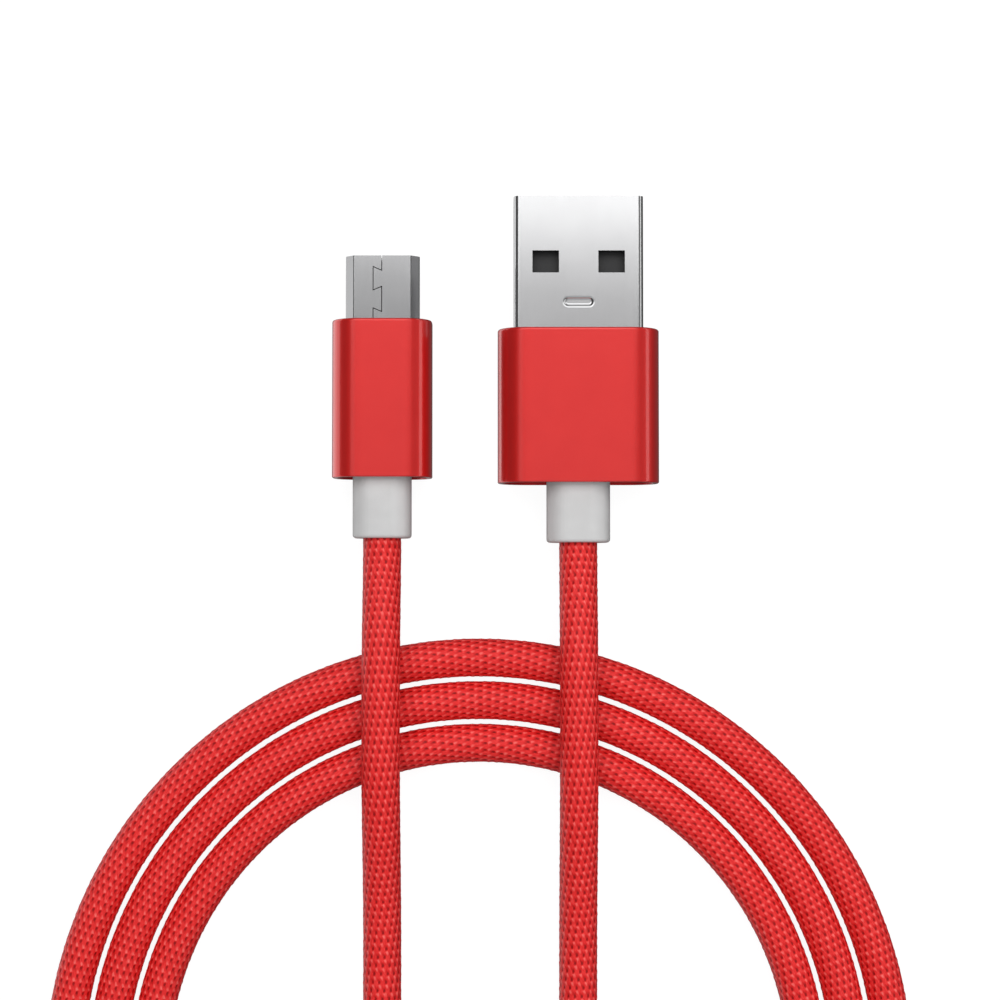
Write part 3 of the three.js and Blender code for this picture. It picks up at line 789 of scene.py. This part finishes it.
def plastic_material(name, colour, roughness=0.45, grain_mm=0.008):
    made = Material(name, Specular_IOR_Level=0.5)
    grain = made.noise(made.place((7, 7, 7)), detail=4.0)
    cloudy = made.noise(made.place((0.4, 0.4, 0.4)), detail=2.0)
    darker = tuple(0.92 * value for value in colour)
    made.link(made.ramp(cloudy, (0.3, darker), (0.7, colour)), "Base Color")
    made.link(made.spread(grain, roughness - 0.06, roughness + 0.08), "Roughness")
    made.bump(grain, grain_mm)
    return made.material


def gold_material():
    made = Material("gold_contact", Metallic=1.0)
    rolled = made.noise(made.place((12, 0.8, 12)), detail=3.0)
    made.link(made.ramp(rolled, (0.3, (0.80, 0.52, 0.16)), (0.7, (0.92, 0.64, 0.24))), "Base Color")
    made.link(made.spread(rolled, 0.18, 0.32), "Roughness")
    made.bump(rolled, 0.003)
    return made.material


# --- Scene ----------------------------------------------------------------------------------


FLOOR_HALF_WIDTH = 15.0  # in metres, so that its edge is past every view's horizon
FLOOR_DROP = 0.06  # below the cord's lowest stitches


def floor():
    mesh = bpy.data.meshes.new("floor")
    sides = [(-1, -1), (1, -1), (1, 1), (-1, 1)]
    corners = [(x * FLOOR_HALF_WIDTH, y * FLOOR_HALF_WIDTH, -FLOOR_DROP * MM) for x, y in sides]
    mesh.from_pydata(corners, [], [(0, 1, 2, 3)])
    plane = bpy.data.objects.new("floor", mesh)
    bpy.context.scene.collection.objects.link(plane)
    matt = {"Roughness": 0.9, "Specular_IOR_Level": 0.0}
    glow = {"Emission_Color": (1, 1, 1, 1), "Emission_Strength": 0.93}
    paint(plane, Material("pale_floor", (0.14, 0.14, 0.14), **matt, **glow).material)
    # The studio's own lower half lights the object from below, as if the floor weren't there.
    plane.visible_diffuse = False
    plane.visible_shadow = False
    plane.visible_glossy = False


def aim(thing, target):
    """Turns a camera or light so that its -Z points at the target, and its +Y near the scene's."""
    back = (thing.location - Vector(target)).normalized()
    right = Vector((0, 1, 0)).cross(back).normalized()
    thing.rotation_euler = Matrix((right, back.cross(right), back)).transposed().to_euler()


def area_light(name, location, target, size, power):
    data = bpy.data.lights.new(name, "AREA")
    data.shape = "RECTANGLE"
    data.size, data.size_y = size
    data.energy = power
    light = bpy.data.objects.new(name, data)
    light.location = location
    light.visible_camera = False
    bpy.context.scene.collection.objects.link(light)
    aim(light, target)
    return light


CAMERA = {
    "lens": 85.1,
    "location": (0.00042, -0.0206, 0.2235),
    "target": (0.00042, -0.01208, 0.0035),
}


def camera():
    data = bpy.data.cameras.new("camera")
    data.lens = CAMERA["lens"]
    eye = bpy.data.objects.new("camera", data)
    eye.location = CAMERA["location"]
    bpy.context.scene.collection.objects.link(eye)
    aim(eye, CAMERA["target"])
    bpy.context.scene.camera = eye


# How bright the studio is, by the angle from straight up, in degrees: right is positive.
STUDIO = [
    (-180, 0.3),
    (-110, 0.3),
    (-95, 0.12),
    (-48, 0.12),
    (-40, 0.5),
    (-34, 0.95),
    (-27, 0.95),
    (-20, 0.7),
    (-6, 0.78),
    (4, 0.82),
    (20, 0.7),
    (40, 0.35),
    (88, 0.3),
    (98, 0.12),
    (180, 0.12),
]


def studio():
    world = bpy.data.worlds.new("studio")
    world.use_nodes = True
    tree = world.node_tree
    direction = tree.nodes.new("ShaderNodeSeparateXYZ")
    coordinates = tree.nodes.new("ShaderNodeTexCoord")
    tree.links.new(coordinates.outputs["Generated"], direction.inputs[0])
    angle = tree.nodes.new("ShaderNodeMath")
    angle.operation = "ARCTAN2"
    tree.links.new(direction.outputs["X"], angle.inputs[0])
    tree.links.new(direction.outputs["Z"], angle.inputs[1])
    share = tree.nodes.new("ShaderNodeMapRange")
    share.inputs["From Min"].default_value = -math.pi
    share.inputs["From Max"].default_value = math.pi
    tree.links.new(angle.outputs[0], share.inputs["Value"])
    ramp = tree.nodes.new("ShaderNodeValToRGB")
    elements = ramp.color_ramp.elements
    while len(elements) < len(STUDIO):
        elements.new(0.5)
    for element, (degrees, brightness) in zip(elements, STUDIO):
        element.position = (degrees + 180) / 360
        element.color = (brightness, brightness, brightness, 1)
    tree.links.new(share.outputs[0], ramp.inputs[0])
    background = tree.nodes["Background"]
    tree.links.new(ramp.outputs[0], background.inputs["Color"])
    bpy.context.scene.world = world
    bpy.context.scene.view_settings.view_transform = "Standard"


CARD_DISTANCE = 0.6
CARD_LENGTH = 1.2


def card(name, degrees, spread_degrees, brightness):
    """A long softbox beside the object, which only reflections show, at an angle from straight up."""
    angle = math.radians(degrees)
    height = 2 * CARD_DISTANCE * math.tan(math.radians(spread_degrees / 2))
    location = (CARD_DISTANCE * math.sin(angle), 0, CARD_DISTANCE * math.cos(angle))
    power = brightness * math.pi * CARD_LENGTH * height
    light = area_light(name, location, (0, 0, 0), (height, CARD_LENGTH), power)
    light.visible_diffuse = False


def lights():
    # Beyond the plugs' tips, so that the shells' flat tops brighten towards the tips.
    area_light("key_light", location=(0, 0.29, 0.5), target=(0, 0.29, 0), size=(0.7, 0.41), power=1.65)
    # Lights cloth and plastic from the upper right, and isn't reflected in the metal.
    fill = area_light(
        "fill_light", location=(0.16, 0.02, 0.45), target=(0, -0.03, 0), size=(0.2, 0.2), power=0.36
    )
    fill.visible_glossy = False
    card("left_card", degrees=-115, spread_degrees=54, brightness=1.25)
    card("right_card", degrees=75, spread_degrees=14, brightness=1.8)


camera()
studio()
lights()
floor()

cord = braided_cord()
paint(cord, braid_material())
made_pieces = [usb_a_shell()]
for plug in PLUG_ORIGIN:
    made_pieces += [housing(plug), strain_relief(plug)]

looks = {
    "nickel_shell": nickel_material(),
    "red_aluminium": anodised_material(),
    "grey_plastic": plastic_material("grey_plastic", (0.62, 0.62, 0.62)),
    "black_plastic": plastic_material("black_plastic", (0.010, 0.010, 0.011), roughness=0.5),
    "gold_contact": gold_material(),
    "spring_steel": nickel_material("spring_steel", (0.55, 0.56, 0.58)),
    "cord_jacket": plastic_material("cord_jacket", (0.25, 0.25, 0.27)),
    "wire_red": plastic_material("wire_red", (0.5, 0.03, 0.02)),
    "wire_white": plastic_material("wire_white", (0.8, 0.8, 0.76)),
    "wire_green": plastic_material("wire_green", (0.03, 0.26, 0.07)),
    "wire_black": plastic_material("wire_black", (0.015, 0.015, 0.016)),
}

for piece in made_pieces:
    paint(piece, looks[piece["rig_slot"]])

CAD_BEVEL = 0.03

# The CAD nodes that nothing replaces are shown as they are, with a small bevel.
for part in frame["record"]["subparts"]:
    node = frame["nodes"][part["node"]]
    if part["material_slot"] in looks:
        paint(node, looks[part["material_slot"]])
        if not node.hide_render:
            node.data.polygons.foreach_set("use_smooth", [True] * len(node.data.polygons))
            finish_edges(node, CAD_BEVEL)

# The Micro-B shell is painted with a darker copy of the nickel material.
darker_nickel = nickel_material("micro_b_nickel", (0.33, 0.33, 0.335))
paint(frame["nodes"]["micro_b_shell"], darker_nickel)
